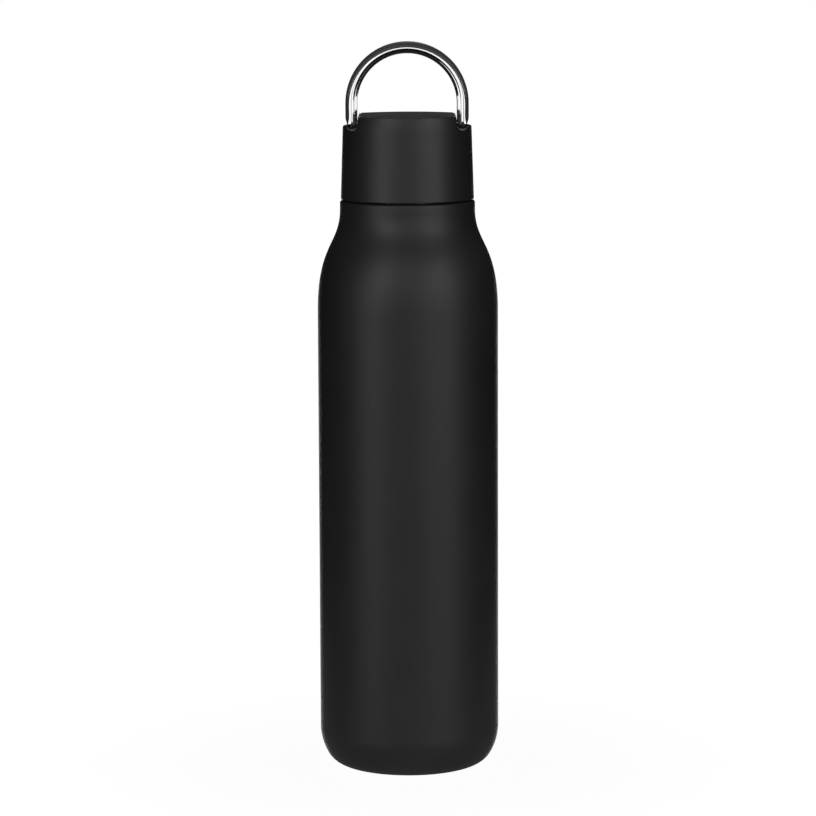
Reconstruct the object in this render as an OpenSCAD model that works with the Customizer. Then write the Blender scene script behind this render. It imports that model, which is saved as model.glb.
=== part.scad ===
// Insulated water bottle: vacuum flask, screw lid with gasket, and a carry loop that tilts on two pins.
// Millimetres. The origin is the centre of the base, +Z is up and -Y is the front.

/* [Flask body] */
// Outside diameter of the straight body
body_d = 70.2; // [68:0.1:73]
// Height where the straight body ends and the shoulder starts
shoulder_z = 179; // [160:1:186]
// Outside diameter of the neck under the lid
neck_d = 52.4; // [51.6:0.1:53]
// Height of the body's folded top edge, under the lid
neck_top_z = 222.2; // [222:0.1:222.4]
// Sheet thickness of the outer shell
shell_t = 0.6; // [0.5:0.1:0.8]
// How far the shoulder keeps to the line of the body
body_pull = 26.7; // [18:0.1:30]
// How far the shoulder keeps to the line of the neck
neck_pull = 14.1; // [8:0.1:18]
// Outside radius of the flat ring the bottle stands on
foot_r = 24.7; // [24:0.1:26]

/* [Inner vessel] */
// Outside diameter of the inner vessel
vessel_d = 62.4; // [60:0.2:63]
// Inside diameter of the mouth
mouth_d = 38; // [37:0.5:38]
// Sheet thickness of the inner vessel
vessel_t = 0.5; // [0.4:0.1:0.5]

/* [Lid] */
// Diameter of the lid at its bottom edge
lid_d = 51.6; // [51.4:0.1:52]
// Diameter of the lid at its top edge
lid_top_d = 48.7; // [48.5:0.1:48.9]
// Height of the lid's bottom edge
lid_z = 222.6; // [222.6:0.1:223.2]
// Height of the lid's flat top
lid_top_z = 255.3; // [254.8:0.1:256]
// Radius of the scooped channel under each end of the loop
channel_r = 2.3; // [2.25:0.05:2.4]
// Height of the lid's edge outside the two channels
lip_z = 251.2; // [251:0.1:251.6]
// Radius that rounds the flat top down to the channels
crown_r = 1.5; // [1:0.1:2]

/* [Carry loop] */
// Radius of the arch, measured to the middle of the metal wire
arch_r = 21.2; // [21.15:0.05:21.25]
// Radius of the metal wire
wire_r = 2; // [1.95:0.05:2]
// Radius of the arch, measured to the middle of the cover's round outside
cover_arch_r = 21.55; // [21.5:0.05:21.7]
// Radius of the cover's round outside
cover_r = 2.3; // [2.2:0.05:2.3]
// Height of the arch's centre
arch_z = 259.65; // [258:0.05:264]
// Height of the two pivot pins
pivot_z = 252; // [251.95:0.05:252.1]

/* [Screw thread] */
// Height of one whole turn of the two-start thread
lead = 8; // [8:0.5:9]
// Sweep of each ridge, in degrees
thread_sweep = 405; // [360:5:405]

/* [Hidden] */
$fn = 96;

body_r = body_d / 2;
neck_r = neck_d / 2;
base_hole_r = 20;
collar_r = 20.6;
collar_in_r = 20;
collar_top_z = 239.4;
lip_top_z = 240;

// The rounded corner at the base: a small arc from the foot, then a larger one up to the side.
corner_h = 15;
corner_w = body_r - foot_r;
corner_a = 8.6;
corner_b = (corner_a * corner_a - corner_w * corner_w - (corner_a - corner_h) * (corner_a - corner_h))
           / (2 * (corner_a - corner_w));
corner_turn = atan2(corner_a - corner_h, corner_b - corner_w);

// The shoulder is one cubic curve that starts on the straight body and ends on the straight neck.
neck_z = 219;
edge_r = 0.8;

// The inner vessel's own shoulder, well inside the outer one.
vessel_r = vessel_d / 2;
mouth_r = mouth_d / 2;
vessel_z = shoulder_z - 1;
vessel_neck_z = 216;
vessel_neck_r = mouth_r + vessel_t;
vessel_body_pull = 18;
vessel_neck_pull = 13;
weld_z = 26;
vessel_floor_z = 9.5;
vessel_corner_r = 12;

// Lid: the cap, its threaded liner and the pocket above the liner.
lid_r = lid_d / 2;
lid_top_r = lid_top_d / 2;
cavity_r = 23;
cavity_top_z = 246.8;
block_x = 18.95;
channel_x = block_x + channel_r;
channel_z = 252.1;
crown_x = block_x - crown_r;
brow_z = 249.8;
brow_r = lid_top_d / 2 + 0.6;
pocket_x = 14.5;
pocket_y = 11;
pocket_top_z = 253.7;
liner_r = 22.9;
liner_bore_r = 21.9;
liner_z = 222.4;
deck_z = 241.6;
deck_top_z = 243.2;
plug_r = 18.3;
plug_z = 233;
plug_t = 1.2;

// Pins and washers of the loop's pivots.
pin_r = 1;
pin_head_r = 1.5;
pin_end_x = 21.6;
pin_hole_r = 1.05;
pin_hole_x = 21.8;
washer_x = 18.6;
washer_r = 1.6;
washer_t = 0.48;

// The joint between the loop's metal core and its cover.
split_r = 23;
split_z = 258.3;
split_x = 22.85;
split_leg_z = split_z - 2;

// Thread ridges.
thread_z = 227;
ridge_base = 1.6;
ridge_crest = 0.7;
ridge_seg = 36;
fade_seg = 5;

function arc(cx, cz, r, a0, a1, n) =
    [for (i = [0:n]) let (a = a0 + (a1 - a0) * i / n) [cx + r * cos(a), cz + r * sin(a)]];
function curve(p0, p1, p2, p3, n) =
    [for (i = [0:n]) let (t = i / n, u = 1 - t)
        u * u * u * p0 + 3 * u * u * t * p1 + 3 * u * t * t * p2 + t * t * t * p3];
function backwards(p) = [for (i = [len(p) - 1:-1:0]) p[i]];

// Side of the outer shell, from the hole in the base up to the folded-in top, moved inward by t.
function shell_side(t) = concat(
    [[base_hole_r, t]],
    arc(foot_r, corner_a, corner_a - t, -90, corner_turn, 10),
    arc(body_r - corner_b, corner_h, corner_b - t, corner_turn, 0, 10),
    curve([body_r - t, shoulder_z], [body_r - t, shoulder_z + body_pull],
          [neck_r - t, neck_z - neck_pull], [neck_r - t, neck_z], 24),
    arc(neck_r - edge_r, neck_top_z - edge_r, edge_r - t, 0, 90, 6),
    [[collar_r, neck_top_z - t]]);

// Side of the inner vessel from its weld to the neck, moved inward by t.
function vessel_side(t) = concat(
    [[vessel_r - t, weld_z]],
    curve([vessel_r - t, vessel_z], [vessel_r - t, vessel_z + vessel_body_pull],
          [vessel_neck_r - t, vessel_neck_z - vessel_neck_pull], [vessel_neck_r - t, vessel_neck_z], 20));

module ring(r_in, r_out, z0, z1) {
    rotate_extrude()
        polygon([[r_in, z0], [r_out, z0], [r_out, z1], [r_in, z1]]);
}

// One helical ridge. Its root is sunk in the wall at root_r and its ends fade into the wall.
module ridge(root_r, crest_r, z0, start, seg = ridge_seg) {
    sections = [for (i = [0:seg])
        let (a = thread_sweep * i / seg, z = z0 + lead * a / 360,
             f = max(0.1, min(1, i / fade_seg, (seg - i) / fade_seg)),
             rc = root_r + f * (crest_r - root_r), c = cos(a + start), s = sin(a + start))
        [[root_r * c, root_r * s, z - ridge_base / 2],
         [rc * c, rc * s, z - ridge_crest / 2],
         [rc * c, rc * s, z + ridge_crest / 2],
         [root_r * c, root_r * s, z + ridge_base / 2]]];
    points = [for (section = sections) for (p = section) p];
    sides = [for (i = [0:seg - 1]) for (j = [0:3]) let (k = (j + 1) % 4)
        for (face = [[4 * i + j, 4 * i + k, 4 * i + 4 + k], [4 * i + j, 4 * i + 4 + k, 4 * i + 4 + j]]) face];
    ends = [[3, 2, 1, 0], [4 * seg, 4 * seg + 1, 4 * seg + 2, 4 * seg + 3]];
    faces = concat(sides, ends);
    polyhedron(points, crest_r > root_r ? faces : [for (face = faces) backwards(face)]);
}

// Powder-coated outer shell: foot ring, base corner, straight side, shoulder and folded-in top.
module outer_shell() {
    color("#2b2b2c")
    rotate_extrude()
        polygon(concat(shell_side(0), backwards(shell_side(shell_t))));
}

// Steel collar with the two-start outside thread, welded inside the shell's folded top.
module threaded_neck() {
    color("#a8a9aa")
    union() {
        ring(collar_in_r, collar_r, neck_top_z - 1, collar_top_z);
        for (start = [0, 180])
            ridge(collar_r - 0.3, collar_r + 0.9, thread_z, start);
    }
}

// Drawn inner vessel: straight wall, shoulder, neck and the lip the gasket seals on.
module inner_vessel() {
    lip = concat(
        [[vessel_neck_r, collar_top_z], [collar_r, collar_top_z], [collar_r, lip_top_z - 0.2]],
        [[collar_r - 0.2, lip_top_z]],
        arc(mouth_r + 0.5, lip_top_z - 0.5, 0.5, 90, 180, 6));
    color("#b9babb")
    rotate_extrude()
        polygon(concat(vessel_side(0), lip, backwards(vessel_side(vessel_t))));
}

// Pressed bottom cup of the inner vessel, welded to it edge to edge.
module inner_bottom() {
    cx = vessel_r - vessel_corner_r;
    cz = vessel_floor_z + vessel_corner_r;
    cup = concat([[0, vessel_floor_z]], arc(cx, cz, vessel_corner_r, -90, 0, 10), [[vessel_r, weld_z]]);
    cup_in = concat([[0, vessel_floor_z + vessel_t]],
                    arc(cx, cz, vessel_corner_r - vessel_t, -90, 0, 10), [[vessel_r - vessel_t, weld_z]]);
    color("#b9babb")
    rotate_extrude()
        polygon(concat(cup, backwards(cup_in)));
}

// Copper foil around the vessel, a heat reflector inside the vacuum space.
module copper_shield() {
    color("#b87355")
    ring(vessel_r + 0.3, vessel_r + 0.5, 30, vessel_z - 3);
}

// Pressed pan that closes the vacuum space, welded to the foot ring, with a dimple and hole in the middle.
module outer_bottom() {
    color("#a8a9aa")
    rotate_extrude()
        polygon([[foot_r - 0.2, shell_t], [20.6, shell_t], [20, 2], [5, 2], [4.2, 3.4], [1, 3.4],
                 [1, 3.9], [4.5, 3.9], [5.35, 2.5], [20.4, 2.5], [20.95, shell_t + 0.5],
                 [foot_r - 0.2, shell_t + 0.5]]);
}

// Glass bead that seals the evacuation hole.
module vacuum_seal_bead() {
    color("#5d6a63")
    rotate_extrude()
        polygon(concat([[0, 3.4], [0, 2.6]], arc(1.8, 3.4, 0.8, -90, 0, 6)));
}

// Getter disc that keeps the vacuum, spot-welded on the pan.
module getter() {
    color("#77777a")
    translate([12, 0, 2.5])
        cylinder(h = 1.6, r = 4);
}

// Brushed steel disc glued under the pan, a little above the surface the bottle stands on.
module base_cover() {
    color("#8f9091")
    rotate_extrude()
        polygon([[0, 1.2], [19.4, 1.2], [19.7, 1.5], [19.7, 2], [0, 2]]);
}

// Flat silicone ring between the vessel's lip and the liner.
module lid_gasket() {
    color("#c9c9c6")
    ring(plug_r + 0.3, liner_bore_r - 0.3, lip_top_z + 0.1, deck_z - 0.05);
}

// Cutter for the channel on the +X side, as a profile swept along Y: crown, upright wall, scoop and lip.
module channel_cut() {
    lip_end = 360 - asin((channel_z - lip_z) / channel_r);
    rotate([90, 0, 0])
        linear_extrude(height = 70, center = true)
            polygon(concat(
                [[crown_x, lid_top_z + 2]],
                arc(crown_x, lid_top_z - crown_r, crown_r, 90, 0, 8),
                arc(channel_x, channel_z, channel_r, 180, lip_end, 18),
                [[channel_x + 9, lip_z], [channel_x + 9, lid_top_z + 2]]));
}

// Lid cap: tapered side that leans in towards the flat top, two channels, and a hollow below for the liner.
module lid_shell() {
    low = 0.5;
    top = 0.6;
    color("#2e2e2f")
    difference() {
        rotate_extrude()
            polygon(concat(
                [[cavity_r, lid_z]],
                arc(lid_r - low, lid_z + low, low, -90, 0, 6),
                curve([brow_r, brow_z], [brow_r - 0.06, brow_z + 2],
                      [lid_top_r + 0.25, lid_top_z - top - 1.6], [lid_top_r, lid_top_z - top], 8),
                arc(lid_top_r - top, lid_top_z - top, top, 10, 90, 6),
                [[0, lid_top_z], [0, cavity_top_z], [cavity_r, cavity_top_z]]));
        channel_cut();
        mirror([1, 0, 0])
            channel_cut();
        translate([-pocket_x, -pocket_y, cavity_top_z - 1])
            cube([2 * pocket_x, 2 * pocket_y, pocket_top_z - cavity_top_z + 1]);
        translate([-block_x - 1, 0, pivot_z])
            rotate([0, 90, 0])
                cylinder(h = 2 * block_x + 2, r = pin_r + 0.02);
        for (side = [0, 180])
            rotate([0, 0, side])
                translate([washer_x, 0, pivot_z])
                    rotate([0, 90, 0])
                        cylinder(h = 2, r = washer_r + 0.02);
    }
}

// Liner: threaded skirt, deck over the gasket and the closed plug that reaches into the mouth.
module lid_liner() {
    color("#3a3a3b")
    union() {
        rotate_extrude()
            polygon([[liner_bore_r, liner_z], [liner_r, liner_z], [liner_r, deck_top_z],
                     [plug_r - plug_t, deck_top_z], [plug_r - plug_t, plug_z + 1.4], [0, plug_z + 1.4],
                     [0, plug_z], [plug_r - 1, plug_z], [plug_r, plug_z + 1], [plug_r, deck_z],
                     [liner_bore_r, deck_z]]);
        for (start = [0, 180])
            ridge(liner_bore_r + 0.3, liner_bore_r - 1, thread_z - lead / 4, start);
    }
}

// Foam disc that fills the plug and the space under the cap.
module lid_insulation() {
    color("#e4e0d4")
    translate([0, 0, plug_z + 1.5])
        cylinder(h = cavity_top_z - 0.2 - plug_z - 1.5, r = plug_r - plug_t - 0.2);
}

// Two headed pivot pins, pressed outward through the cap's middle block.
module pivot_pins() {
    color("#9a9b9c")
    for (side = [0, 180])
        rotate([0, 0, side])
            translate([0, 0, pivot_z])
                rotate([0, 90, 0])
                    rotate_extrude()
                        polygon([[0, 13.6], [pin_head_r, 13.6], [pin_head_r, 14.4], [pin_r, 14.4],
                                 [pin_r, pin_end_x - 0.2], [pin_r - 0.2, pin_end_x], [0, pin_end_x]]);
}

// Two thin washers, each let into the block beside a leg of the loop; they give the pivots their friction.
module friction_washers() {
    color("#1f1f20")
    for (side = [0, 180])
        rotate([0, 0, side])
            translate([washer_x, 0, pivot_z])
                rotate([0, 90, 0])
                    difference() {
                        cylinder(h = washer_t, r = washer_r);
                        translate([0, 0, -1])
                            cylinder(h = washer_t + 2, r = pin_r + 0.02);
                    }
}

// Half a ring of round section on two legs, each leg turned from its half profile.
module horseshoe(mean_r, round_r, foot) {
    leg = concat([[0, foot[0].y]], foot, [[round_r, arch_z - pivot_z], [0, arch_z - pivot_z]]);
    translate([0, 0, arch_z])
        rotate([90, 0, 0])
            rotate_extrude(angle = 180)
                translate([mean_r, 0])
                    circle(r = round_r);
    for (side = [-1, 1])
        translate([side * mean_r, 0, pivot_z])
            rotate_extrude()
                polygon(leg);
}

// Front outline of the metal core: a round top on straight legs.
module core_outline() {
    rotate([90, 0, 0])
        linear_extrude(height = 20, center = true)
            polygon(concat(
                [[split_x, pivot_z - 10]],
                arc(0, split_z, split_r, -5, 185, 76),
                [[-split_x, pivot_z - 10]]));
}

// Chrome-plated wire of the loop, flat under its cover, with a blind pivot hole in each leg.
module loop_core() {
    color("#d8d8da")
    difference() {
        intersection() {
            horseshoe(arch_r, wire_r, arc(0, 0, wire_r, -88, 0, 10));
            core_outline();
        }
        for (side = [0, 180])
            rotate([0, 0, side])
                translate([arch_r - wire_r - 1, 0, pivot_z])
                    rotate([0, 90, 0])
                        cylinder(h = pin_hole_x - arch_r + wire_r + 1, r = pin_hole_r);
    }
}

// Crescent cover moulded on the outside of the loop, thickest at the top and slim at its two ends.
module loop_cover() {
    slim = curve([1.6, -0.9], [1.75, 0.4], [cover_r, 1.2], [cover_r, 2.5], 10);
    color("#3b3b3d")
    difference() {
        horseshoe(cover_arch_r, cover_r, concat([[1.45, -1.1]], slim));
        core_outline();
    }
}

outer_shell();
threaded_neck();
inner_vessel();
inner_bottom();
copper_shield();
outer_bottom();
vacuum_seal_bead();
getter();
base_cover();
lid_gasket();
lid_shell();
lid_liner();
lid_insulation();
pivot_pins();
friction_washers();
loop_core();
loop_cover();
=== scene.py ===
# %% [markdown]
# # Insulated water bottle
# A vacuum flask in matte black powder coat, with a screw lid and a carry loop that tilts on two pins.
# The engineering model is loaded first and stays fixed. Everything that shows is then modelled again here,
# finer and with rounded edges, in the same place, and rides on the same bodies.
# Lengths below are in millimetres until they are put in a mesh, which is in metres.

# %% Load the frame
import math

import bmesh
import bpy
from mathutils import Matrix, Vector


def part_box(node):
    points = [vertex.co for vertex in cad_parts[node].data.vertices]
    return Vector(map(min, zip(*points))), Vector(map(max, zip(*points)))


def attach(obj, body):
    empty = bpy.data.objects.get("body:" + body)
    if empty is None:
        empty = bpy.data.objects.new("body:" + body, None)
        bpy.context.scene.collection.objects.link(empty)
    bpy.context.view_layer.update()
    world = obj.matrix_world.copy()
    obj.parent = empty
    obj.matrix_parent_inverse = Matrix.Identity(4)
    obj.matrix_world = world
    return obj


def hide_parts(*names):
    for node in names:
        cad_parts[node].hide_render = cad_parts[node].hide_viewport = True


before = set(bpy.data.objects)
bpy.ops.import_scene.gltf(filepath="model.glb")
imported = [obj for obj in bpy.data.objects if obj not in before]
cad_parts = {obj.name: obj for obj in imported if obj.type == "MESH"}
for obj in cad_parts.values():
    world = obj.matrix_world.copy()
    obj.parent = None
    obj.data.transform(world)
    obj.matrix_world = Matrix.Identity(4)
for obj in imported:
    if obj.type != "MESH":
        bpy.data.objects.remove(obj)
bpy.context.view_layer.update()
MM = 0.001
print("nodes:", sorted(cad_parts))

# %% [markdown]
# ## Camera
# A bottle is best seen from a little above its middle with a long lens, so that its sides stay parallel.
# The camera could be aimed with a Track To constraint. A plain rotation is used, because the other views
# move this camera and a constraint would fight them.

# %% Camera
CAMERA_BACK = 1334.0
CAMERA_HEIGHT = 322.0
CAMERA_SIDE = -0.1
LOOK_DOWN = 7.735
TILT = -0.23
FOCAL_LENGTH = 151.9

scene = bpy.context.scene
camera = bpy.data.objects.new("camera", bpy.data.cameras.new("camera"))
scene.collection.objects.link(camera)
turn = Matrix.Rotation(math.radians(90 - LOOK_DOWN), 4, "X") @ Matrix.Rotation(math.radians(TILT), 4, "Z")
camera.matrix_world = Matrix.Translation((CAMERA_SIDE * MM, -CAMERA_BACK * MM, CAMERA_HEIGHT * MM)) @ turn
camera.data.lens = FOCAL_LENGTH
camera.data.clip_start = 0.05
camera.data.clip_end = 50
scene.camera = camera
print("camera at", tuple(round(v, 3) for v in camera.location))

# %% [markdown]
# ## Helpers for turned pieces
# Most of a bottle is turned or drawn, so its pieces are surfaces of revolution. Each is drawn as a half
# outline in the XZ plane and spun about Z, as on a lathe. Round stretches of an outline come from `arc`
# and `curve`.

# %% Outline helpers
STEPS = 256


def arc(centre_x, centre_z, radius, start, end, count):
    """Points on a circle from one angle to another, in degrees."""
    angles = [math.radians(start + (end - start) * i / count) for i in range(count + 1)]
    return [(centre_x + radius * math.cos(a), centre_z + radius * math.sin(a)) for a in angles]


def curve(p0, p1, p2, p3, count):
    """Points on a cubic curve from p0 to p3, pulled by p1 and p2."""
    points = []
    for i in range(count + 1):
        t = i / count
        w = ((1 - t) ** 3, 3 * t * (1 - t) ** 2, 3 * t * t * (1 - t), t ** 3)
        points.append(tuple(sum(k * p[axis] for k, p in zip(w, (p0, p1, p2, p3))) for axis in (0, 1)))
    return points


def rounded_block(r_in, r_out, z_low, z_high, corner):
    """Outline of a ring with four rounded corners."""
    return (arc(r_in + corner, z_low + corner, corner, 180, 270, 5)
            + arc(r_out - corner, z_low + corner, corner, 270, 360, 5)
            + arc(r_out - corner, z_high - corner, corner, 0, 90, 5)
            + arc(r_in + corner, z_high - corner, corner, 90, 180, 5))


def spin_outline(outline, closed=False, steps=STEPS):
    """A bmesh of the outline turned once round Z. Points on the axis become one pole."""
    bm = bmesh.new()
    verts = [bm.verts.new((r * MM, 0, z * MM)) for r, z in outline]
    if closed:
        verts.append(verts[0])
    edges = [bm.edges.new(pair) for pair in zip(verts, verts[1:])]
    bmesh.ops.spin(bm, geom=list(bm.verts) + edges, cent=(0, 0, 0), axis=(0, 0, 1), dvec=(0, 0, 0),
                   angle=2 * math.pi, steps=steps, use_merge=True, use_duplicate=False)
    bmesh.ops.remove_doubles(bm, verts=bm.verts, dist=1e-7)
    bmesh.ops.recalc_face_normals(bm, faces=bm.faces)
    return bm


def finish_piece(bm, name, body, replaced, crease=40):
    """Writes the bmesh to an object that rides on its body and stands for the engineering piece."""
    mesh = bpy.data.meshes.new(name)
    bm.to_mesh(mesh)
    bm.free()
    mesh.shade_smooth()
    mesh.set_sharp_from_angle(angle=math.radians(crease))
    piece = bpy.data.objects.new(name, mesh)
    scene.collection.objects.link(piece)
    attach(piece, body)
    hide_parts(replaced)
    print(f"{name}: {len(mesh.polygons)} faces")
    return piece


# %% [markdown]
# ## Outer shell
# The shell is a steel tube, spun in at the shoulder and at the base and then powder coated. It could be a
# cylinder with a subdivision surface, but that rounds places that are truly straight. Its outline is spun
# instead, with the shoulder as one cubic curve, so the highlight runs over it without a break. Only the
# outside is drawn; `solidify` then gives the sheet its thickness.

# %% Outer shell
_, shell_high = (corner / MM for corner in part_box("outer_shell"))
BODY_R = shell_high.x
NECK_TOP = shell_high.z
NECK_R = 26.2
SHEET = 0.6
HOLE_R = 20.0
FOOT_R = 24.7
CORNER_TOP = 15.0
CORNER_R = 8.6
NECK_FOOT = 219.0
SHOULDER_FOOT = 179.0
BODY_PULL = 26.7
NECK_PULL = 14.1
RIM_R = 0.9


def base_corner(count):
    """A small arc up from the foot that runs into a larger one, upright where it meets the side."""
    width = BODY_R - FOOT_R
    drop = CORNER_R - CORNER_TOP
    side_r = (CORNER_R ** 2 - width ** 2 - drop ** 2) / (2 * (CORNER_R - width))
    meet = math.degrees(math.atan2(drop, side_r - width))
    return (arc(FOOT_R, CORNER_R, CORNER_R, -90, meet, count)
            + arc(BODY_R - side_r, CORNER_TOP, side_r, meet, 0, count)[1:])


def shell_outline():
    shoulder = curve((BODY_R, SHOULDER_FOOT), (BODY_R, SHOULDER_FOOT + BODY_PULL),
                     (NECK_R, NECK_FOOT - NECK_PULL), (NECK_R, NECK_FOOT), 56)
    rim = arc(NECK_R - RIM_R, NECK_TOP - RIM_R, RIM_R, 0, 90, 8)
    return ([(HOLE_R, 0.3)] + arc(HOLE_R + 0.25, 0.25, 0.25, 180, 270, 4) + base_corner(16)
            + [(BODY_R, z) for z in (40, 75, 110, 145)] + shoulder + rim + [(20.65, NECK_TOP)])


bm = spin_outline(shell_outline())
bmesh.ops.solidify(bm, geom=bm.faces, thickness=SHEET * MM)
bottle_shell = finish_piece(bm, "bottle_shell", "flask", "outer_shell")

# %% [markdown]
# ## Rolled thread
# The lid turns on a two-start thread that is rolled into the steel collar. A ridge could be a separate
# swept strip, but on rolled sheet it grows out of the wall. So the wall is spun with close rows, and its
# points are pushed out by a height that winds round it. The liner in the lid gets the same ridge, half a
# pitch away.

# %% Thread height
LEAD = 8.0
THREAD_START = 227.0
THREAD_SWEEP = 405.0
RIDGE_BASE = 1.7
RIDGE_CREST = 0.55
FADE = 56.0


def ridge_height(x, y, z, start_z):
    """How much of the ridge's full height stands at a point of the wall, from 0 to 1."""
    angle = math.degrees(math.atan2(y, x)) % 360
    best = 0.0
    for turned in (angle, angle + 360, angle + 180, angle + 540, angle - 180):
        if 0 <= turned <= THREAD_SWEEP:
            away = abs(z - start_z - LEAD * turned / 360)
            flank = min(1.0, max(0.0, (RIDGE_BASE / 2 - away) / ((RIDGE_BASE - RIDGE_CREST) / 2)))
            fade = min(1.0, turned / FADE, (THREAD_SWEEP - turned) / FADE)
            best = max(best, flank * flank * (3 - 2 * flank) * fade)
    return best


def raise_ridge(bm, wall_r, height, start_z):
    """Pushes the points of one wall out by the ridge, or in if the height is negative."""
    for vert in bm.verts:
        r = math.hypot(vert.co.x, vert.co.y) / MM
        if abs(r - wall_r) < 0.01:
            push = 1 + height * ridge_height(vert.co.x, vert.co.y, vert.co.z / MM, start_z) / wall_r
            vert.co.x *= push
            vert.co.y *= push


def rows(low, high, spacing):
    """Heights from low to high, close enough for a thread."""
    count = round((high - low) / spacing)
    return [low + (high - low) * i / count for i in range(count + 1)]


# %% [markdown]
# ## Neck collar
# The collar is a short steel tube welded inside the shell's folded rim. Only its thread needs fine rows.

# %% Neck collar
COLLAR_R = 20.6
COLLAR_IN_R = 20.0
COLLAR_RIDGE = 0.9
collar_low, collar_high = (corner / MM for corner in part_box("threaded_neck"))
collar_outline = ([(COLLAR_IN_R, collar_low.z), (COLLAR_R, collar_low.z)]
                  + [(COLLAR_R, z) for z in rows(225.8, 237.2, 0.15)]
                  + [(COLLAR_R, collar_high.z), (COLLAR_IN_R, collar_high.z)])
bm = spin_outline(collar_outline, closed=True)
raise_ridge(bm, COLLAR_R, COLLAR_RIDGE, THREAD_START)
neck_collar = finish_piece(bm, "neck_collar", "flask", "threaded_neck")

# %% [markdown]
# ## Inner vessel
# The drink is in a second steel bottle inside the shell, drawn in one piece and closed by a welded cup.
# Where it meets the collar its lip is rolled over, and that is what the gasket presses on. Both walls of
# the sheet are drawn, because the inside shows through the open mouth.

# %% Inner vessel and its cup
VESSEL_R = 31.2
VESSEL_SHEET = 0.5
MOUTH_R = 19.0
VESSEL_SHOULDER = 178.0
VESSEL_NECK = 216.0
VESSEL_BODY_PULL = 18.0
VESSEL_NECK_PULL = 13.0
WELD = 26.0
LIP_TOP = 240.0


def vessel_wall_outline(inset):
    wall = VESSEL_R - inset
    neck = MOUTH_R + VESSEL_SHEET - inset
    return ([(wall, WELD), (wall, 70), (wall, 120)]
            + curve((wall, VESSEL_SHOULDER), (wall, VESSEL_SHOULDER + VESSEL_BODY_PULL),
                    (neck, VESSEL_NECK - VESSEL_NECK_PULL), (neck, VESSEL_NECK), 40))


lip = ([(19.5, 239.4), (20.4, 239.4)] + arc(20.35, 239.7, 0.25, -60, 80, 6)
       + arc(MOUTH_R + 0.5, LIP_TOP - 0.5, 0.5, 90, 180, 8))
vessel_outline = vessel_wall_outline(0) + lip + vessel_wall_outline(VESSEL_SHEET)[::-1]
bm = spin_outline(vessel_outline, closed=True)
vessel_wall = finish_piece(bm, "vessel_wall", "flask", "inner_vessel")

CUP_FLOOR = 9.5
CUP_CORNER = 12.0


def cup_outline(inset):
    corner = arc(VESSEL_R - CUP_CORNER, CUP_FLOOR + CUP_CORNER, CUP_CORNER - inset, -90, 0, 16)
    step = [(0, CUP_FLOOR + inset + 0.5), (9, CUP_FLOOR + inset + 0.5), (9.8, CUP_FLOOR + inset)]
    return step + corner + [(VESSEL_R - inset, WELD)]


bm = spin_outline(cup_outline(0) + cup_outline(VESSEL_SHEET)[::-1])
vessel_cup = finish_piece(bm, "vessel_cup", "flask", "inner_bottom", crease=30)

# %% [markdown]
# ## Base disc
# Under the bottle a thin steel disc hides the seal of the vacuum space. It is pressed with two shallow
# rings, which stiffen it, and sits a little above the foot so that it never touches the table.

# %% Base disc
disc_low, disc_high = (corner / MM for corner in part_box("base_cover"))
DISC_R = disc_high.x


def pressed_ring(radius, depth, width):
    """A soft groove in the disc's underside."""
    return [(radius + width * (i / 8 - 0.5), disc_low.z + depth * math.sin(math.pi * i / 8) ** 2)
            for i in range(9)]


disc_outline = ([(0, disc_low.z)] + pressed_ring(7.0, 0.3, 1.8) + pressed_ring(15.5, 0.3, 1.8)
                + arc(DISC_R - 0.35, disc_low.z + 0.35, 0.35, -90, 0, 6)
                + [(DISC_R, disc_high.z), (0, disc_high.z)])
base_disc = finish_piece(spin_outline(disc_outline), "base_disc", "flask", "base_cover")

# %% [markdown]
# ## Sealing ring
# The gasket is a flat silicone ring with rounded corners.

# %% Sealing ring
ring_low, ring_high = (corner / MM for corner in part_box("lid_gasket"))
ring_outline = rounded_block(18.6, ring_high.x, ring_low.z, ring_high.z, 0.35)
sealing_ring = finish_piece(spin_outline(ring_outline, closed=True, steps=192), "sealing_ring",
                            "lid_seal", "lid_gasket")

# %% [markdown]
# ## Cap
# The cap is one moulding: a tapered cup with a flat top, cut down on both sides by a scooped channel in
# which the loop's legs swing. It is turned with sharp edges, the channels and the pivot pocket are cut by
# Boolean, and then every outside edge is rounded in one bevel. Rounding last is what gives clean corners
# where the top, a channel and the side all meet.

# %% Cap body
cap_low, cap_high = (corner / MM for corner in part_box("lid_shell"))
CAP_R = cap_high.x
CAP_BOTTOM = cap_low.z
CAP_TOP = cap_high.z
CAP_TOP_R = 24.35
BROW_R = 24.95
BROW_Z = 249.8
CAVITY_R = 23.0
CAVITY_TOP = 246.8
PIVOT_Z = 252.0
WALL_X = 18.95
CROWN_R = 1.5
CHANNEL_R = 2.3
CHANNEL_Z = 252.1
LIP_Z = 251.2
LIP_R = 0.6
CUT_HALF = 35.0
POCKET_X = 14.5
POCKET_Y = 11.0
POCKET_LOW = 245.8
POCKET_TOP = 253.7
PIN_BORE_R = 1.02
PIN_BORE_LENGTH = 40.0
SEAT_R = 1.62
SEAT_LENGTH = 2.0
WASHER_X = 18.6
EDGE_ROUND = 0.5


def loose_object(bm, name):
    """A plain object for a Boolean, not a piece of the bottle."""
    mesh = bpy.data.meshes.new(name)
    bm.to_mesh(mesh)
    bm.free()
    made = bpy.data.objects.new(name, mesh)
    scene.collection.objects.link(made)
    return made


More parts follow.
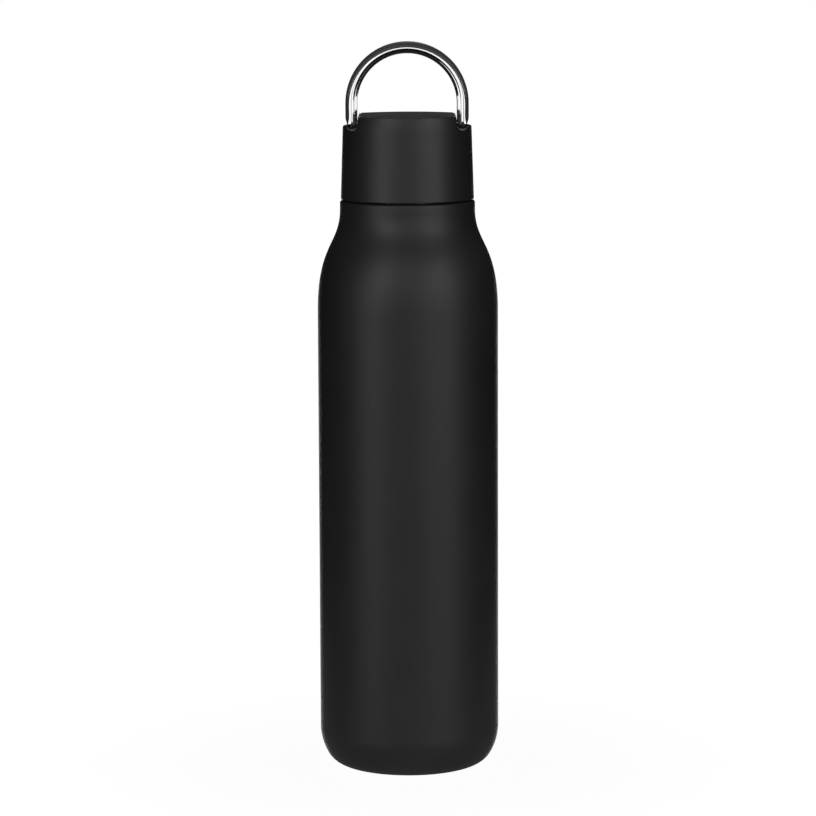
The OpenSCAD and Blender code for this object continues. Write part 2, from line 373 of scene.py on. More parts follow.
def cap_blank():
    outline = (arc(CAVITY_R + 0.2, CAP_BOTTOM + 0.2, 0.2, 180, 270, 3)
               + arc(CAP_R - 0.5, CAP_BOTTOM + 0.5, 0.5, -90, 2, 6)
               + curve((BROW_R, BROW_Z), (BROW_R - 0.06, BROW_Z + 2), (CAP_TOP_R + 0.15, CAP_TOP - 1.4),
                       (CAP_TOP_R - 0.12, CAP_TOP), 8)
               + [(0, CAP_TOP), (0, CAVITY_TOP), (CAVITY_R, CAVITY_TOP)])
    return loose_object(spin_outline(outline, closed=False), "cap_blank")


def channel_section():
    """The channel in XZ: round crown, upright wall, scoop, and a soft edge on to the lip."""
    scoop_x = WALL_X + CHANNEL_R
    drop = CHANNEL_Z - LIP_Z + LIP_R
    lip_x = scoop_x + math.sqrt((CHANNEL_R + LIP_R) ** 2 - drop ** 2)
    lean = math.degrees(math.asin(drop / (CHANNEL_R + LIP_R)))
    return ([(WALL_X - CROWN_R, CAP_TOP + 3)] + arc(WALL_X - CROWN_R, CAP_TOP - CROWN_R, CROWN_R, 90, 0, 12)
            + arc(scoop_x, CHANNEL_Z, CHANNEL_R, 180, 360 - lean, 26)
            + arc(lip_x, LIP_Z - LIP_R, LIP_R, 180 - lean, 90, 5)[1:]
            + [(scoop_x + 9, LIP_Z), (scoop_x + 9, CAP_TOP + 3)])


def channel_cutter(side):
    """The channel's section drawn out along Y."""
    bm = bmesh.new()
    face = bm.faces.new([bm.verts.new((side * x * MM, -CUT_HALF * MM, z * MM)) for x, z in channel_section()])
    drawn = bmesh.ops.extrude_face_region(bm, geom=[face])["geom"]
    far_end = [g for g in drawn if isinstance(g, bmesh.types.BMVert)]
    bmesh.ops.translate(bm, verts=far_end, vec=(0, 2 * CUT_HALF * MM, 0))
    bmesh.ops.recalc_face_normals(bm, faces=bm.faces)
    return loose_object(bm, "channel_cutter")


def pocket_cutter():
    """The pocket for the pins' heads."""
    bm = bmesh.new()
    size = Matrix.Diagonal((2 * POCKET_X * MM, 2 * POCKET_Y * MM, (POCKET_TOP - POCKET_LOW) * MM, 1))
    middle = Matrix.Translation((0, 0, (POCKET_LOW + POCKET_TOP) / 2 * MM))
    bmesh.ops.create_cube(bm, size=1, matrix=middle @ size)
    return loose_object(bm, "pocket_cutter")


def bore_cutter(radius, middle_x, length):
    """A bore along X at the pivots' height: one for both pins, and a shallow seat for each washer."""
    bm = bmesh.new()
    lie = Matrix.Translation((middle_x * MM, 0, PIVOT_Z * MM)) @ Matrix.Rotation(math.pi / 2, 4, "Y")
    bmesh.ops.create_cone(bm, segments=48, radius1=radius * MM, radius2=radius * MM, depth=length * MM,
                          cap_ends=True, matrix=lie)
    return loose_object(bm, "bore_cutter")


def carve(blank, cutters):
    """Takes the cutters out of the blank and returns the result as a bmesh."""
    for cutter in cutters:
        boolean = blank.modifiers.new("cut", "BOOLEAN")
        boolean.operation = "DIFFERENCE"
        boolean.solver = "EXACT"
        boolean.object = cutter
    bpy.context.view_layer.update()
    result = bmesh.new()
    result.from_object(blank, bpy.context.evaluated_depsgraph_get())
    for used in [blank, *cutters]:
        bpy.data.objects.remove(used, do_unlink=True)
    return result


def outside_edge(edge):
    """True on the sharp edges that a hand can touch: the top, the channels and their lips."""
    if len(edge.link_faces) != 2 or edge.calc_face_angle() < math.radians(24):
        return False
    middle = (edge.verts[0].co + edge.verts[1].co) / 2 / MM
    near_bore = math.hypot(middle.y, middle.z - PIVOT_Z) < 1.8 and abs(middle.x) < 19.1
    return (middle.z > 254 or abs(middle.x) > 15 and middle.z > 248) and not near_bore


seat_middle = WASHER_X + SEAT_LENGTH / 2
bores = [bore_cutter(PIN_BORE_R, 0, PIN_BORE_LENGTH), bore_cutter(SEAT_R, seat_middle, SEAT_LENGTH),
         bore_cutter(SEAT_R, -seat_middle, SEAT_LENGTH)]
bm = carve(cap_blank(), [channel_cutter(1), channel_cutter(-1), pocket_cutter(), *bores])
bmesh.ops.remove_doubles(bm, verts=bm.verts, dist=2e-6)
edges = [edge for edge in bm.edges if outside_edge(edge)]
bmesh.ops.bevel(bm, geom=edges, offset=EDGE_ROUND * MM, offset_type="OFFSET", segments=4, profile=0.5,
                affect="EDGES", clamp_overlap=False, loop_slide=True, material=-1)
print("rounded", len(edges), "edges of the cap")
cap = finish_piece(bm, "cap", "lid", "lid_shell", crease=50)
even = cap.modifiers.new("even_normals", "WEIGHTED_NORMAL")
even.keep_sharp = True
even.weight = 80

# %% [markdown]
# ## Liner
# Inside the cap is a polypropylene liner: the threaded skirt, a deck over the gasket, and a hollow plug that
# reaches into the mouth and holds the foam. Its bore has close rows for the thread, like the collar.

# %% Liner
LINER_R = 22.9
BORE_R = 21.9
liner_low, liner_high = (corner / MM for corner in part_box("lid_liner"))
DECK = 241.6
PLUG_R = 18.3
PLUG_LOW = liner_high.z - 10.2


def liner_outline():
    bore = [(BORE_R, z) for z in rows(224.0, 235.4, 0.15)][::-1]
    plug = ([(0, PLUG_LOW + 0.5), (4, PLUG_LOW + 0.5), (4.6, PLUG_LOW), (PLUG_R - 1.4, PLUG_LOW)]
            + arc(PLUG_R - 1.2, PLUG_LOW + 1.2, 1.2, -80, 0, 8)
            + [(PLUG_R, DECK - 0.4)] + arc(PLUG_R + 0.4, DECK - 0.4, 0.4, 180, 90, 4)[1:])
    skirt = ([(BORE_R, DECK), (BORE_R, DECK - 0.5)] + bore + [(BORE_R, liner_low.z + 0.25)]
             + [(BORE_R + 0.2, liner_low.z), (LINER_R - 0.2, liner_low.z), (LINER_R, liner_low.z + 0.25)])
    inside = [(LINER_R, liner_high.z), (17.1, liner_high.z), (17.1, PLUG_LOW + 1.4), (0, PLUG_LOW + 1.4)]
    return plug + skirt + inside


bm = spin_outline(liner_outline())
raise_ridge(bm, BORE_R, -1.0, THREAD_START - LEAD / 4)
liner = finish_piece(bm, "liner", "lid", "lid_liner")

# %% [markdown]
# ## Pivot pins and washers
# The loop's legs turn on two headed pins, pressed outward through the cap. A nylon washer on each gives the
# friction that keeps the loop where it is put. They are turned on Z and laid along X, once for each side.

# %% Pins and washers
PIN_R = 1.0
PIN_END = 21.6
PIN_ROUND = 0.2
HEAD_R = 1.5
HEAD_LOW = 13.6
HEAD_TOP = 14.4
WASHER_R = 1.6
WASHER_T = 0.48


def lay_both_sides(bm):
    """Lays a piece turned on Z along X through the pivots, and adds its twin on the other side."""
    shape = list(bm.verts) + list(bm.edges) + list(bm.faces)
    twin = bmesh.ops.duplicate(bm, geom=shape)["geom"]
    first = [g for g in shape if isinstance(g, bmesh.types.BMVert)]
    second = [g for g in twin if isinstance(g, bmesh.types.BMVert)]
    for verts, turn in ((first, math.pi / 2), (second, -math.pi / 2)):
        lie = Matrix.Translation((0, 0, PIVOT_Z * MM)) @ Matrix.Rotation(turn, 4, "Y")
        bmesh.ops.transform(bm, matrix=lie, verts=verts)
    return bm


pin_outline = ([(0, HEAD_LOW)] + arc(HEAD_R - PIN_ROUND, HEAD_LOW + PIN_ROUND, PIN_ROUND, -90, 0, 3)
               + arc(HEAD_R - PIN_ROUND, HEAD_TOP - PIN_ROUND, PIN_ROUND, 0, 90, 3) + [(PIN_R, HEAD_TOP)]
               + arc(PIN_R - PIN_ROUND, PIN_END - PIN_ROUND, PIN_ROUND, 0, 90, 4) + [(0, PIN_END)])
pins = finish_piece(lay_both_sides(spin_outline(pin_outline, steps=48)), "pins",
                    "lid", "pivot_pins")
washer_outline = rounded_block(PIN_R + 0.03, WASHER_R, WASHER_X, WASHER_X + WASHER_T, 0.12)
washers = finish_piece(lay_both_sides(spin_outline(washer_outline, closed=True, steps=64)), "washers",
                       "lid", "friction_washers")

# %% [markdown]
# ## Carry loop
# The loop is a chromed wire bent to a horseshoe, with a moulded cover on its outer side that is thin
# beside the legs and thick over the top. Both are made the same way as the real wire: a straight tube of
# many rings is bent to shape, ring by ring. The ring is split at the seam, and half of its points go round
# the section while the other half lie on the flat between metal and cover. A curve with a bevel couldn't
# do that, because the split moves along the loop.

# %% Loop path
ARCH_Z = 259.65
WIRE_ARCH_R = 21.2
WIRE_R = 2.0
COVER_ARCH_R = 21.55
COVER_R = 2.3
SEAM_R = 23.0
SEAM_Z = 258.3
RING_POINTS = 64


def seam_from_middle(along, height):
    """How far the seam lies from the arch's centre, or from the axis beside the legs."""
    if height >= ARCH_Z:
        lift = ARCH_Z - SEAM_Z
        return -lift * math.sin(along) + math.sqrt(SEAM_R ** 2 - (lift * math.cos(along)) ** 2)
    return math.sqrt(SEAM_R ** 2 - max(-2.0, height - SEAM_Z) ** 2)


def wire_leg():
    """Height and radius of the wire's rings, up one leg from its round tip."""
    tip = [math.radians(90 * i / 14) for i in range(15)]
    return [(PIVOT_Z - WIRE_R * math.cos(a), WIRE_R * math.sin(a)) for a in tip]


def cover_leg():
    """The same for the cover, which is slim at its end and reaches its full round 2.5 mm above the pivot."""
    slim = curve((1.6, PIVOT_Z - 0.9), (1.75, PIVOT_Z + 0.4), (COVER_R, PIVOT_Z + 1.2),
                 (COVER_R, PIVOT_Z + 2.5), 14)
    return [(PIVOT_Z - 1.1, 1.4), (PIVOT_Z - 1.05, 1.5)] + [(z, r) for r, z in slim]


def loop_rings(leg, arch_r, round_r):
    """Middle point, outward angle, radius and seam offset of each ring, from tip to tip."""
    top = leg[-1][0]
    leg = leg + [(top + (ARCH_Z - top) * i / 8, round_r) for i in range(1, 8)]
    right = [((arch_r, z), 0.0, r) for z, r in leg]
    arch = [((arch_r * math.cos(a), ARCH_Z + arch_r * math.sin(a)), a, round_r)
            for a in (math.pi * i / 144 for i in range(145))]
    left = [((-arch_r, z), math.pi, r) for z, r in reversed(leg)]
    return [(middle, out, r, seam_from_middle(out, middle[1]) - arch_r)
            for middle, out, r in right + arch + left]


def straight_tube(count):
    """A tube along Z with one ring of points at each whole number."""
    bm = bmesh.new()
    bmesh.ops.create_circle(bm, segments=RING_POINTS, radius=1)
    edges = list(bm.edges)
    for _ in range(count - 1):
        out = bmesh.ops.extrude_edge_only(bm, edges=edges)["geom"]
        verts = {g for g in out if isinstance(g, bmesh.types.BMVert)}
        bmesh.ops.translate(bm, verts=list(verts), vec=(0, 0, 1))
        edges = [g for g in out if isinstance(g, bmesh.types.BMEdge) and set(g.verts) <= verts]
    return bm


def split_ring(angle, radius, seam, metal):
    """Place of a ring point, outward and sideways: on the round, or on the flat at the seam."""
    if seam >= radius:
        return (radius * math.cos(angle), radius * math.sin(angle)) if metal else (radius, 0.0)
    edge = math.acos(seam / radius)
    half = radius * math.sin(edge)
    part = abs(angle) / (math.pi / 2)
    side = math.copysign(1, angle)
    relief = 0.04 if abs(part - 1) < 1e-6 else 0.0
    if metal and part >= 1:
        round_angle = edge + (math.pi - edge) * (part - 1)
        return (radius - relief) * math.cos(round_angle), side * (radius - relief) * math.sin(round_angle)
    if not metal and part <= 1:
        round_angle = edge * part
        return (radius - relief) * math.cos(round_angle), side * (radius - relief) * math.sin(round_angle)
    inward = part if metal else 2 - part
    return seam, side * max(half - 0.12, 0.5 * half) * inward


def bend_bar(metal, gap):
    """The wire or its cover, bent from a straight tube. The gap leaves a fine line at the seam."""
    if metal:
        rings = loop_rings(wire_leg(), WIRE_ARCH_R, WIRE_R)
    else:
        rings = loop_rings(cover_leg(), COVER_ARCH_R, COVER_R)
    bm = straight_tube(len(rings))
    for vert in bm.verts:
        (x, z), out, radius, seam = rings[round(vert.co.z)]
        angle = math.atan2(vert.co.y, vert.co.x)
        outward, sideways = split_ring(angle, radius, seam + gap, metal)
        vert.co = ((x + outward * math.cos(out)) * MM, sideways * MM, (z + outward * math.sin(out)) * MM)
    bmesh.ops.remove_doubles(bm, verts=bm.verts, dist=1e-6)
    bmesh.ops.holes_fill(bm, edges=[e for e in bm.edges if e.is_boundary], sides=0)
    bmesh.ops.recalc_face_normals(bm, faces=bm.faces)
    return bm


# %% Loop pieces
loop_bar = finish_piece(bend_bar(True, -0.03), "loop_bar", "carry_loop", "loop_core", crease=35)
loop_sleeve = finish_piece(bend_bar(False, 0.03), "loop_sleeve", "carry_loop", "loop_cover",
                           crease=35)

# %% [markdown]
# ## Shared surface effects
# Several finishes need the same small effects: a fine grain, lines left by turning, and the uneven sheen of
# something that has been handled. Each is a node group that is built once and gets its own values in every
# material that uses it. The groups read the position they are given, in metres on the object.

# %% Node helpers
def add_group(name, inputs, outputs):
    """An empty shader group with its sockets, and its input and output nodes."""
    tree = bpy.data.node_groups.new(name, "ShaderNodeTree")
    for socket, kind, value in inputs:
        made = tree.interface.new_socket(name=socket, in_out="INPUT", socket_type=kind)
        if value is not None:
            made.default_value = value
    for socket in outputs:
        tree.interface.new_socket(name=socket, in_out="OUTPUT", socket_type="NodeSocketFloat")
    return tree, tree.nodes.new("NodeGroupInput"), tree.nodes.new("NodeGroupOutput")


def math_node(tree, operation, first, second=None, third=None):
    """A Math node whose inputs are sockets or numbers. Returns its output."""
    node = tree.nodes.new("ShaderNodeMath")
    node.operation = operation
    for socket, value in zip(node.inputs, (first, second, third)):
        if isinstance(value, bpy.types.NodeSocket):
            tree.links.new(value, socket)
        elif value is not None:
            socket.default_value = value
    return node.outputs[0]


def noise_node(tree, vector, scale, detail=2.0, roughness=0.5):
    """A Noise Texture. The scale may be a socket. Returns its value."""
    node = tree.nodes.new("ShaderNodeTexNoise")
    tree.links.new(vector, node.inputs["Vector"])
    if isinstance(scale, bpy.types.NodeSocket):
        tree.links.new(scale, node.inputs["Scale"])
    else:
        node.inputs["Scale"].default_value = scale
    node.inputs["Detail"].default_value = detail
    node.inputs["Roughness"].default_value = roughness
    return node.outputs["Fac"]


def remap(tree, value, from_low, from_high, to_low, to_high):
    """A Map Range node that clamps. Returns its result."""
    node = tree.nodes.new("ShaderNodeMapRange")
    for socket, given in zip(node.inputs, (value, from_low, from_high, to_low, to_high)):
        if isinstance(given, bpy.types.NodeSocket):
            tree.links.new(given, socket)
        else:
            socket.default_value = given
    return node.outputs[0]


# %% Grain group
def make_grain():
    """Soft pebbles with finer ones between them, as in powder coat and in a textured mould."""
    tree, given, result = add_group("pebble_grain", [("Vector", "NodeSocketVector", None),
                                                     ("Size", "NodeSocketFloat", 2000.0)],
                                    ["Height", "Speck"])
    pebbles = tree.nodes.new("ShaderNodeTexVoronoi")
    pebbles.feature = "SMOOTH_F1"
    tree.links.new(given.outputs["Vector"], pebbles.inputs["Vector"])
    tree.links.new(given.outputs["Size"], pebbles.inputs["Scale"])
    fine_size = math_node(tree, "MULTIPLY", given.outputs["Size"], 2.3)
    fine = noise_node(tree, given.outputs["Vector"], fine_size, 3.0, 0.6)
    wave_size = math_node(tree, "MULTIPLY", given.outputs["Size"], 0.35)
    waves = noise_node(tree, given.outputs["Vector"], wave_size)
    body = math_node(tree, "MULTIPLY_ADD", pebbles.outputs["Distance"], -0.7, fine)
    tree.links.new(math_node(tree, "MULTIPLY_ADD", waves, 0.8, body), result.inputs["Height"])
    tree.links.new(remap(tree, fine, 0.62, 0.78, 0.0, 1.0), result.inputs["Speck"])
    return tree


GRAIN = make_grain()


# %% Turned lines group
def make_turned_lines():
    """Fine rings round the axis, as a polishing belt or a lathe leaves them on walls and on floors."""
    tree, given, result = add_group("turned_lines", [("Vector", "NodeSocketVector", None),
                                                     ("Fineness", "NodeSocketFloat", 3000.0)],
                                    ["Height", "Streak"])
    parts = tree.nodes.new("ShaderNodeSeparateXYZ")
    tree.links.new(given.outputs["Vector"], parts.inputs[0])
    x, y, z = parts.outputs
    radius = math_node(tree, "SQRT", math_node(tree, "ADD", math_node(tree, "MULTIPLY", x, x),
                                               math_node(tree, "MULTIPLY", y, y)))
    across = tree.nodes.new("ShaderNodeCombineXYZ")
    tree.links.new(radius, across.inputs["X"])
    tree.links.new(z, across.inputs["Z"])
    tree.links.new(math_node(tree, "MULTIPLY", x, 0.03), across.inputs["Y"])
    lines = noise_node(tree, across.outputs[0], given.outputs["Fineness"], 4.0, 0.65)
    broad = noise_node(tree, across.outputs[0], math_node(tree, "MULTIPLY", given.outputs["Fineness"], 0.12))
    tree.links.new(math_node(tree, "MULTIPLY_ADD", broad, 0.6, lines), result.inputs["Height"])
    tree.links.new(remap(tree, lines, 0.35, 0.65, 0.0, 1.0), result.inputs["Streak"])
    return tree


TURNED = make_turned_lines()


# %% Handling group
def make_handling():
    """Broad, faint patches and a few thin wipes, which change how much a surface shines."""
    tree, given, result = add_group("handling", [("Vector", "NodeSocketVector", None)], ["Patch", "Wipe"])
    patch = noise_node(tree, given.outputs["Vector"], 28.0, 3.0, 0.55)
    stretch = tree.nodes.new("ShaderNodeMapping")
    stretch.inputs["Rotation"].default_value = (0.0, 0.5, 0.35)
    stretch.inputs["Scale"].default_value = (1.0, 1.0, 0.06)
    tree.links.new(given.outputs["Vector"], stretch.inputs["Vector"])
    wipe = noise_node(tree, stretch.outputs[0], 900.0, 2.0, 0.5)
    tree.links.new(remap(tree, patch, 0.3, 0.7, 0.0, 1.0), result.inputs["Patch"])
    tree.links.new(remap(tree, wipe, 0.66, 0.74, 0.0, 1.0), result.inputs["Wipe"])
    return tree


HANDLING = make_handling()
print("shared effects:", [group.name for group in bpy.data.node_groups])

# %% [markdown]
# ## Materials
# A finish is a Principled BSDF with a plain colour that the effects vary. The colour moves between two
# close tones, the roughness between two values, and the grain goes to a Bump node, whose distance is the
# real height of the grain.

# %% Material builder
def effect(tree, group, vector, **values):
    """Places a shared effect in a material with its own values."""
    node = tree.nodes.new("ShaderNodeGroup")
    node.node_tree = group
    tree.links.new(vector, node.inputs["Vector"])
    for name, value in values.items():
        node.inputs[name].default_value = value
    return node


def blend_colours(tree, factor, first, second):
    node = tree.nodes.new("ShaderNodeMix")
    node.data_type = "RGBA"
    tree.links.new(factor, node.inputs["Factor"])
    node.inputs["A"].default_value = (*first, 1)
    node.inputs["B"].default_value = (*second, 1)
    return node.outputs["Result"]


def bump(tree, height, depth_mm):
    """A Bump node whose distance is the grain's real height."""
    node = tree.nodes.new("ShaderNodeBump")
    node.inputs["Distance"].default_value = depth_mm * MM
    node.inputs["Strength"].default_value = 1.0
    tree.links.new(height, node.inputs["Height"])
    return node.outputs["Normal"]


def start_material(name, metallic=0.0):
    """A material, its tree, its Principled BSDF and the object coordinates."""
    material = bpy.data.materials.new(name)
    material.use_nodes = True
    tree = material.node_tree
    shader = tree.nodes["Principled BSDF"]
    shader.inputs["Metallic"].default_value = metallic
    place = tree.nodes.new("ShaderNodeTexCoord").outputs["Object"]
    return material, tree, shader, place


def grained_plastic(name, dark, light, rough, grain_size, grain_depth, speck=0.0):
    """Moulded plastic or powder coat: a pebbled grain, two close tones and a slightly uneven sheen."""
    material, tree, shader, place = start_material(name)
    grain = effect(tree, GRAIN, place, Size=grain_size)
    handled = effect(tree, HANDLING, place)
    tone = math_node(tree, "MULTIPLY_ADD", grain.outputs["Speck"], speck, handled.outputs["Patch"])
    tree.links.new(blend_colours(tree, tone, dark, light), shader.inputs["Base Color"])
    roughness = remap(tree, handled.outputs["Patch"], 0.0, 1.0, rough[0], rough[1])
    wiped = math_node(tree, "MULTIPLY_ADD", handled.outputs["Wipe"], -0.05, roughness)
    tree.links.new(wiped, shader.inputs["Roughness"])
    tree.links.new(bump(tree, grain.outputs["Height"], grain_depth), shader.inputs["Normal"])
    return material


def turned_metal(name, dark, light, rough, fineness, depth):
    """Bare metal with fine rings round the axis."""
    material, tree, shader, place = start_material(name, metallic=1.0)
    lines = effect(tree, TURNED, place, Fineness=fineness)
    handled = effect(tree, HANDLING, place)
    tree.links.new(blend_colours(tree, handled.outputs["Patch"], dark, light), shader.inputs["Base Color"])
    roughness = remap(tree, lines.outputs["Streak"], 0.0, 1.0, rough[0], rough[1])
    tree.links.new(roughness, shader.inputs["Roughness"])
    tree.links.new(bump(tree, lines.outputs["Height"], depth), shader.inputs["Normal"])
    return material


# %% [markdown]
# ### Blacks
# Three blacks meet on this bottle and each is a little different: the powder coat is a soft pebble under a
# dull sheen, the cap is smoother moulded plastic, and the loop's cover is greyer.

# %% Black finishes
powder_coat = grained_plastic("powder_coat", (0.0135, 0.0135, 0.014), (0.0165, 0.0165, 0.017),
                              (0.47, 0.53), 2600.0, 0.012, speck=0.5)
cap_plastic = grained_plastic("cap_plastic", (0.0145, 0.0145, 0.015), (0.0175, 0.0175, 0.018),
                              (0.45, 0.51), 4200.0, 0.006, speck=0.3)
liner_plastic = grained_plastic("liner_plastic", (0.009, 0.009, 0.0095), (0.012, 0.012, 0.0125),
                                (0.55, 0.65), 5200.0, 0.003)
loop_plastic = grained_plastic("loop_plastic", (0.048, 0.048, 0.05), (0.055, 0.055, 0.057),
                               (0.48, 0.54), 3800.0, 0.002, speck=0.1)
washer_nylon = grained_plastic("washer_nylon", (0.016, 0.016, 0.016), (0.02, 0.02, 0.02),
                               (0.4, 0.48), 6000.0, 0.002)
foam = grained_plastic("foam", (0.66, 0.62, 0.52), (0.75, 0.71, 0.61), (0.85, 0.95), 1400.0, 0.12, speck=0.3)

# %% [markdown]
# ### Metals
# The steel inside is belt-polished, so its lines run round the axis. Chrome is almost a mirror: only a few
# hair-fine wipes and a faint ripple of the plated bar keep it from looking drawn.

# %% Metal finishes
steel = turned_metal("steel", (0.56, 0.555, 0.545), (0.62, 0.615, 0.605), (0.2, 0.34), 5200.0, 0.003)
copper = turned_metal("copper", (0.68, 0.32, 0.2), (0.78, 0.41, 0.28), (0.22, 0.36), 1500.0, 0.01)
getter_metal = turned_metal("getter_metal", (0.2, 0.2, 0.205), (0.27, 0.27, 0.275),
                            (0.5, 0.66), 2500.0, 0.01)


def make_chrome():
    material, tree, shader, place = start_material("chrome", metallic=1.0)
    handled = effect(tree, HANDLING, place)
    tree.links.new(blend_colours(tree, handled.outputs["Patch"], (0.76, 0.765, 0.775), (0.8, 0.805, 0.81)),
                   shader.inputs["Base Color"])
    rough = math_node(tree, "MULTIPLY_ADD", handled.outputs["Wipe"], 0.12, 0.045)
    tree.links.new(math_node(tree, "MULTIPLY_ADD", handled.outputs["Patch"], 0.02, rough),
                   shader.inputs["Roughness"])
    ripple = noise_node(tree, place, 90.0, 2.0, 0.4)
    tree.links.new(bump(tree, ripple, 0.006), shader.inputs["Normal"])
    return material


chrome = make_chrome()

# %% [markdown]
# ### Seal materials
# Silicone lets a little light in, which Subsurface gives. The seal of the vacuum space is a bead of dark
# glass.

# %% Silicone and glass
def make_silicone():
    material, tree, shader, place = start_material("silicone")
    grain = effect(tree, GRAIN, place, Size=3200.0)
    handled = effect(tree, HANDLING, place)
    tree.links.new(blend_colours(tree, handled.outputs["Patch"], (0.5, 0.5, 0.48), (0.58, 0.58, 0.56)),
                   shader.inputs["Base Color"])
    tree.links.new(remap(tree, handled.outputs["Patch"], 0.0, 1.0, 0.42, 0.52), shader.inputs["Roughness"])
    tree.links.new(bump(tree, grain.outputs["Height"], 0.004), shader.inputs["Normal"])
    shader.inputs["Subsurface Weight"].default_value = 0.25
    shader.inputs["Subsurface Radius"].default_value = (0.002, 0.002, 0.002)
    return material


def make_seal_glass():
    material, tree, shader, place = start_material("seal_glass")
    cloud = noise_node(tree, place, 900.0, 3.0, 0.6)
    tree.links.new(blend_colours(tree, cloud, (0.1, 0.13, 0.115), (0.17, 0.2, 0.18)),
                   shader.inputs["Base Color"])
    tree.links.new(remap(tree, cloud, 0.3, 0.7, 0.08, 0.2), shader.inputs["Roughness"])
    shader.inputs["Transmission Weight"].default_value = 0.3
    return material


silicone = make_silicone()
seal_glass = make_seal_glass()

# %% [markdown]
# ## Finishes on pieces
# The new pieces take their finish here. The engineering pieces that stay hidden in the walls, such as the
# foil and the getter, keep their own meshes and get a proper finish too, for whoever opens the model up.

# %% Assign finishes
def paint(piece, material):
    piece.data.materials.clear()
    piece.data.materials.append(material)


FINISHES = {
    powder_coat: [bottle_shell], cap_plastic: [cap], liner_plastic: [liner], loop_plastic: [loop_sleeve],
    chrome: [loop_bar], steel: [neck_collar, vessel_wall, vessel_cup, base_disc, pins],
    silicone: [sealing_ring], washer_nylon: [washers],
}
for material, pieces in FINISHES.items():
    for piece in pieces:
        paint(piece, material)
KEPT = {"copper_shield": copper, "outer_bottom": steel, "vacuum_seal_bead": seal_glass,
        "getter": getter_metal, "lid_insulation": foam}
for node, material in KEPT.items():
    paint(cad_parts[node], material)
print("finishes:", len(bpy.data.materials))

# %% [markdown]
# ## Studio
# Matte black is lit by what it reflects. Soft boxes stand in front, left and right, and give the two
# upright bands of sheen, with a weaker one between them. The flat top of the cap needs its own box high at
# the back. A glow on the table lights the lowest part of the sides. Two low boxes behind keep the back
# readable: from below, they can't reach the flat top. Chrome is a mirror, so those boxes would clutter it.
# Light linking gives it three white cards of its own, and keeps the boxes off it. Only the loop itself can
# shade it from the cards. The background is white only for the camera, so that it doesn't wash over the
# black.

# %% Lights
def link_group(name, pieces):
    """A collection that lights can be linked to. It isn't put in the scene."""
    group = bpy.data.collections.new(name)
    for piece in pieces:
        group.objects.link(piece)
    return group


mirrors = link_group("mirrors", [loop_bar])
carry_loop = link_group("carry_loop", [loop_bar, loop_sleeve])
matt_pieces = link_group("matt_pieces", [o for o in scene.objects if o.type == "MESH" and o is not loop_bar])


def soft_box(name, azimuth, elevation, distance, width, height, radiance, aim_z=0.15, lit=None):
    """A rectangular light. Azimuth 0 is in front, and turns towards +X. Radiance 1 shows as white."""
    data = bpy.data.lights.new(name, "AREA")
    data.shape = "RECTANGLE"
    data.size = width
    data.size_y = height
    data.energy = radiance * math.pi * width * height
    lamp = bpy.data.objects.new(name, data)
    scene.collection.objects.link(lamp)
    a, e = math.radians(azimuth), math.radians(elevation)
    back = Vector((math.sin(a) * math.cos(e), -math.cos(a) * math.cos(e), math.sin(e)))
    lamp.location = Vector((0, 0, aim_z)) + back * distance
    lamp.rotation_euler = back.to_track_quat("Z", "Y").to_euler()
    lamp.light_linking.receiver_collection = lit or matt_pieces
    lamp.visible_camera = False
    return lamp


soft_box("key_left", -33, 24, 1.3, 0.4, 0.52, 4.6)
soft_box("side_left", -47, 2, 1.3, 0.42, 0.5, 3.3)
soft_box("key_right", 49, 24, 1.3, 0.4, 0.52, 3.9)
soft_box("side_right", 50, 0, 1.3, 0.42, 0.5, 2.1)
soft_box("fill_right", 29, 12, 1.3, 0.42, 0.95, 1.6)
soft_box("front", 4, 23, 1.3, 0.7, 0.5, 0.9)
soft_box("front_low", 0, 0, 1.3, 0.9, 0.5, 0.28)
soft_box("top_back", 180, 60, 1.2, 0.5, 0.5, 3.2)
soft_box("back_left", -168, -14, 1.5, 0.45, 0.6, 3.2)
soft_box("back_right", 168, -14, 1.5, 0.45, 0.6, 3.2)
soft_box("under", 0, -80, 0.8, 0.6, 0.6, 0.12)
soft_box("table_glow", 0, -90, 0.005, 0.5, 0.5, 0.18, aim_z=0)
for name, azimuth, elevation, width in (("card_left", -70, 8, 1.7), ("card_right", 90, 8, 1.7),
                                        ("card_high", 8, 46, 1.3)):
    card = soft_box(name, azimuth, elevation, 0.9, width, 2.2, 1.25, aim_z=0.26, lit=mirrors)
    card.light_linking.blocker_collection = carry_loop

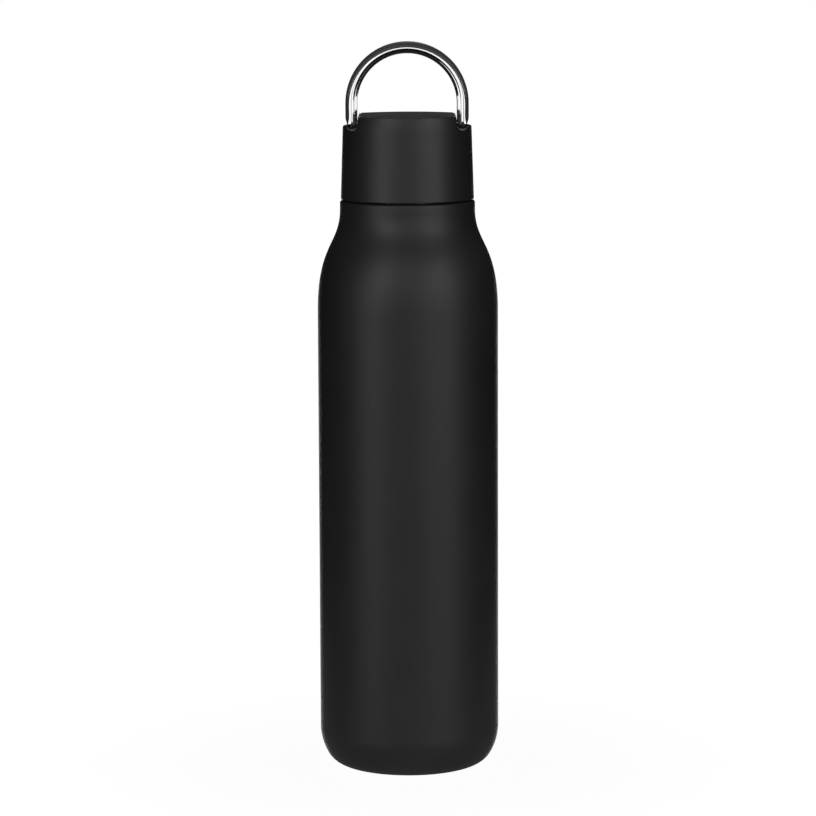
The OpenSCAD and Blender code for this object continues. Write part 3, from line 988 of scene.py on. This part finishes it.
# %% Surroundings and floor
world = bpy.data.worlds.new("studio")
scene.world = world
world.use_nodes = True
nodes, links = world.node_tree.nodes, world.node_tree.links
nodes.clear()
seen = nodes.new("ShaderNodeBackground")
seen.inputs["Color"].default_value = (1, 1, 1, 1)
felt = nodes.new("ShaderNodeBackground")
felt.inputs["Color"].default_value = (0.005, 0.005, 0.005, 1)
mix = nodes.new("ShaderNodeMixShader")
links.new(nodes.new("ShaderNodeLightPath").outputs["Is Camera Ray"], mix.inputs[0])
links.new(felt.outputs[0], mix.inputs[1])
links.new(seen.outputs[0], mix.inputs[2])
links.new(mix.outputs[0], nodes.new("ShaderNodeOutputWorld").inputs["Surface"])


def make_floor():
    """A pale disc that catches a soft shadow, and is clear from below so that the base can be looked at."""
    bm = bmesh.new()
    bmesh.ops.create_circle(bm, segments=96, radius=6, cap_ends=True,
                            matrix=Matrix.Translation((0, 0, -0.0002)))
    floor = loose_object(bm, "floor")
    material, tree, shader, place = start_material("floor")
    shader.inputs["Base Color"].default_value = (0.5, 0.5, 0.5, 1)
    shader.inputs["Roughness"].default_value = 0.9
    shader.inputs["Specular IOR Level"].default_value = 0.0
    shader.inputs["Emission Color"].default_value = (1, 1, 1, 1)
    # Painted shade: the floor's glow is weaker under and round the bottle, so the floor is darker round the
    # base as well as under the real soft shadow; farther off it glows white.
    away = tree.nodes.new("ShaderNodeVectorMath")
    away.operation = "LENGTH"
    tree.links.new(place, away.inputs[0])
    tree.links.new(remap(tree, away.outputs["Value"], 0.05, 0.2, 0.97, 1.02),
                   shader.inputs["Emission Strength"])
    mixer = tree.nodes.new("ShaderNodeMixShader")
    tree.links.new(tree.nodes.new("ShaderNodeNewGeometry").outputs["Backfacing"], mixer.inputs[0])
    tree.links.new(shader.outputs[0], mixer.inputs[1])
    tree.links.new(tree.nodes.new("ShaderNodeBsdfTransparent").outputs[0], mixer.inputs[2])
    tree.links.new(mixer.outputs[0], tree.nodes["Material Output"].inputs["Surface"])
    paint(floor, material)
    floor.visible_glossy = False
    floor.visible_diffuse = False
    floor.visible_shadow = False
    return floor


make_floor()
scene.view_settings.view_transform = "Standard"
scene.view_settings.look = "None"
